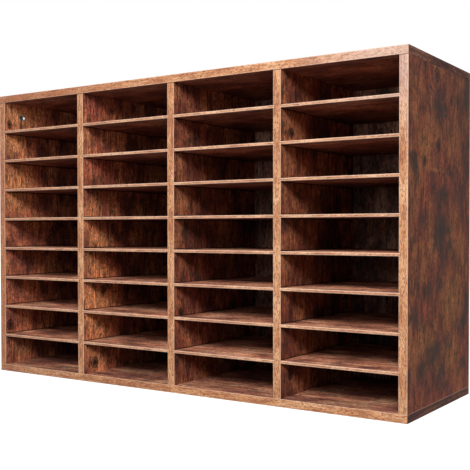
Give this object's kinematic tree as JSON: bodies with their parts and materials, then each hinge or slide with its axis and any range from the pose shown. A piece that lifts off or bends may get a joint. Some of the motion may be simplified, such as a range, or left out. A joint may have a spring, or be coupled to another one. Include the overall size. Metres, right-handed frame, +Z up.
{
  "type": "pigeonhole mail sorter",
  "caption": "Free-standing pigeonhole mail sorter: a wood-print board case, open at the front, with upright dividers and thin loose shelves seated in routed housings.",
  "frame": {"origin": "middle of the underside of the case, edge bands included", "axes": "+X to the right along the width, +Y to the rear, +Z up; the open front faces -Y"},
  "size_m": [0.998, 0.305, 0.625],
  "materials": {
    "board_print": "chipboard with a rustic dark brown printed foil, satin",
    "shelf_print": "thin fibreboard with the same printed foil, lighter front edge",
    "back_print": "hardboard, dark brown print inside, bare brown behind",
    "edge_band": "light tan speckled wood-print edge banding",
    "zinc": "zinc die-cast, bright",
    "steel": "zinc-plated steel"
  },
  "bodies": {
    "case": {"back_board_1": "back_print", "back_board_2": "back_print", "back_board_3": "back_print", "back_board_4": "back_print", "base_screws": "steel", "bottom_panel": "board_print", "bottom_panel_edge_band": "edge_band", "cam_bolts": "steel", "cam_locks": "zinc", "divider_1": "board_print", "divider_1_edge_band": "edge_band", "divider_2": "board_print", "divider_2_edge_band": "edge_band", "divider_3": "board_print", "divider_3_edge_band": "edge_band", "left_side_panel": "board_print", "left_side_panel_edge_band": "edge_band", "right_side_panel": "board_print", "right_side_panel_edge_band": "edge_band", "top_panel": "board_print", "top_panel_edge_band": "edge_band"},
    "shelf_col1_row1": {"shelf_col1_row1": "shelf_print"},
    "shelf_col1_row2": {"shelf_col1_row2": "shelf_print"},
    "shelf_col1_row3": {"shelf_col1_row3": "shelf_print"},
    "shelf_col1_row4": {"shelf_col1_row4": "shelf_print"},
    "shelf_col1_row5": {"shelf_col1_row5": "shelf_print"},
    "shelf_col1_row6": {"shelf_col1_row6": "shelf_print"},
    "shelf_col1_row7": {"shelf_col1_row7": "shelf_print"},
    "shelf_col1_row8": {"shelf_col1_row8": "shelf_print"},
    "shelf_col2_row1": {"shelf_col2_row1": "shelf_print"},
    "shelf_col2_row2": {"shelf_col2_row2": "shelf_print"},
    "shelf_col2_row3": {"shelf_col2_row3": "shelf_print"},
    "shelf_col2_row4": {"shelf_col2_row4": "shelf_print"},
    "shelf_col2_row5": {"shelf_col2_row5": "shelf_print"},
    "shelf_col2_row6": {"shelf_col2_row6": "shelf_print"},
    "shelf_col2_row7": {"shelf_col2_row7": "shelf_print"},
    "shelf_col2_row8": {"shelf_col2_row8": "shelf_print"},
    "shelf_col3_row1": {"shelf_col3_row1": "shelf_print"},
    "shelf_col3_row2": {"shelf_col3_row2": "shelf_print"},
    "shelf_col3_row3": {"shelf_col3_row3": "shelf_print"},
    "shelf_col3_row4": {"shelf_col3_row4": "shelf_print"},
    "shelf_col3_row5": {"shelf_col3_row5": "shelf_print"},
    "shelf_col3_row6": {"shelf_col3_row6": "shelf_print"},
    "shelf_col3_row7": {"shelf_col3_row7": "shelf_print"},
    "shelf_col3_row8": {"shelf_col3_row8": "shelf_print"},
    "shelf_col4_row1": {"shelf_col4_row1": "shelf_print"},
    "shelf_col4_row2": {"shelf_col4_row2": "shelf_print"},
    "shelf_col4_row3": {"shelf_col4_row3": "shelf_print"},
    "shelf_col4_row4": {"shelf_col4_row4": "shelf_print"},
    "shelf_col4_row5": {"shelf_col4_row5": "shelf_print"},
    "shelf_col4_row6": {"shelf_col4_row6": "shelf_print"},
    "shelf_col4_row7": {"shelf_col4_row7": "shelf_print"},
    "shelf_col4_row8": {"shelf_col4_row8": "shelf_print"}
  },
  "joints": [
    {"name": "shelf_col1_row1_slide", "type": "slide", "parent": "case", "child": "shelf_col1_row1", "axis": [0, -1, 0], "range_m": [0, 0.3]},
    {"name": "shelf_col1_row2_slide", "type": "slide", "parent": "case", "child": "shelf_col1_row2", "axis": [0, -1, 0], "range_m": [0, 0.3]},
    {"name": "shelf_col1_row3_slide", "type": "slide", "parent": "case", "child": "shelf_col1_row3", "axis": [0, -1, 0], "range_m": [0, 0.3]},
    {"name": "shelf_col1_row4_slide", "type": "slide", "parent": "case", "child": "shelf_col1_row4", "axis": [0, -1, 0], "range_m": [0, 0.3]},
    {"name": "shelf_col1_row5_slide", "type": "slide", "parent": "case", "child": "shelf_col1_row5", "axis": [0, -1, 0], "range_m": [0, 0.3]},
    {"name": "shelf_col1_row6_slide", "type": "slide", "parent": "case", "child": "shelf_col1_row6", "axis": [0, -1, 0], "range_m": [0, 0.3]},
    {"name": "shelf_col1_row7_slide", "type": "slide", "parent": "case", "child": "shelf_col1_row7", "axis": [0, -1, 0], "range_m": [0, 0.3]},
    {"name": "shelf_col1_row8_slide", "type": "slide", "parent": "case", "child": "shelf_col1_row8", "axis": [0, -1, 0], "range_m": [0, 0.3]},
    {"name": "shelf_col2_row1_slide", "type": "slide", "parent": "case", "child": "shelf_col2_row1", "axis": [0, -1, 0], "range_m": [0, 0.3]},
    {"name": "shelf_col2_row2_slide", "type": "slide", "parent": "case", "child": "shelf_col2_row2", "axis": [0, -1, 0], "range_m": [0, 0.3]},
    {"name": "shelf_col2_row3_slide", "type": "slide", "parent": "case", "child": "shelf_col2_row3", "axis": [0, -1, 0], "range_m": [0, 0.3]},
    {"name": "shelf_col2_row4_slide", "type": "slide", "parent": "case", "child": "shelf_col2_row4", "axis": [0, -1, 0], "range_m": [0, 0.3]},
    {"name": "shelf_col2_row5_slide", "type": "slide", "parent": "case", "child": "shelf_col2_row5", "axis": [0, -1, 0], "range_m": [0, 0.3]},
    {"name": "shelf_col2_row6_slide", "type": "slide", "parent": "case", "child": "shelf_col2_row6", "axis": [0, -1, 0], "range_m": [0, 0.3]},
    {"name": "shelf_col2_row7_slide", "type": "slide", "parent": "case", "child": "shelf_col2_row7", "axis": [0, -1, 0], "range_m": [0, 0.3]},
    {"name": "shelf_col2_row8_slide", "type": "slide", "parent": "case", "child": "shelf_col2_row8", "axis": [0, -1, 0], "range_m": [0, 0.3]},
    {"name": "shelf_col3_row1_slide", "type": "slide", "parent": "case", "child": "shelf_col3_row1", "axis": [0, -1, 0], "range_m": [0, 0.3]},
    {"name": "shelf_col3_row2_slide", "type": "slide", "parent": "case", "child": "shelf_col3_row2", "axis": [0, -1, 0], "range_m": [0, 0.3]},
    {"name": "shelf_col3_row3_slide", "type": "slide", "parent": "case", "child": "shelf_col3_row3", "axis": [0, -1, 0], "range_m": [0, 0.3]},
    {"name": "shelf_col3_row4_slide", "type": "slide", "parent": "case", "child": "shelf_col3_row4", "axis": [0, -1, 0], "range_m": [0, 0.3]},
    {"name": "shelf_col3_row5_slide", "type": "slide", "parent": "case", "child": "shelf_col3_row5", "axis": [0, -1, 0], "range_m": [0, 0.3]},
    {"name": "shelf_col3_row6_slide", "type": "slide", "parent": "case", "child": "shelf_col3_row6", "axis": [0, -1, 0], "range_m": [0, 0.3]},
    {"name": "shelf_col3_row7_slide", "type": "slide", "parent": "case", "child": "shelf_col3_row7", "axis": [0, -1, 0], "range_m": [0, 0.3]},
    {"name": "shelf_col3_row8_slide", "type": "slide", "parent": "case", "child": "shelf_col3_row8", "axis": [0, -1, 0], "range_m": [0, 0.3]},
    {"name": "shelf_col4_row1_slide", "type": "slide", "parent": "case", "child": "shelf_col4_row1", "axis": [0, -1, 0], "range_m": [0, 0.3]},
    {"name": "shelf_col4_row2_slide", "type": "slide", "parent": "case", "child": "shelf_col4_row2", "axis": [0, -1, 0], "range_m": [0, 0.3]},
    {"name": "shelf_col4_row3_slide", "type": "slide", "parent": "case", "child": "shelf_col4_row3", "axis": [0, -1, 0], "range_m": [0, 0.3]},
    {"name": "shelf_col4_row4_slide", "type": "slide", "parent": "case", "child": "shelf_col4_row4", "axis": [0, -1, 0], "range_m": [0, 0.3]},
    {"name": "shelf_col4_row5_slide", "type": "slide", "parent": "case", "child": "shelf_col4_row5", "axis": [0, -1, 0], "range_m": [0, 0.3]},
    {"name": "shelf_col4_row6_slide", "type": "slide", "parent": "case", "child": "shelf_col4_row6", "axis": [0, -1, 0], "range_m": [0, 0.3]},
    {"name": "shelf_col4_row7_slide", "type": "slide", "parent": "case", "child": "shelf_col4_row7", "axis": [0, -1, 0], "range_m": [0, 0.3]},
    {"name": "shelf_col4_row8_slide", "type": "slide", "parent": "case", "child": "shelf_col4_row8", "axis": [0, -1, 0], "range_m": [0, 0.3]}
  ]
}
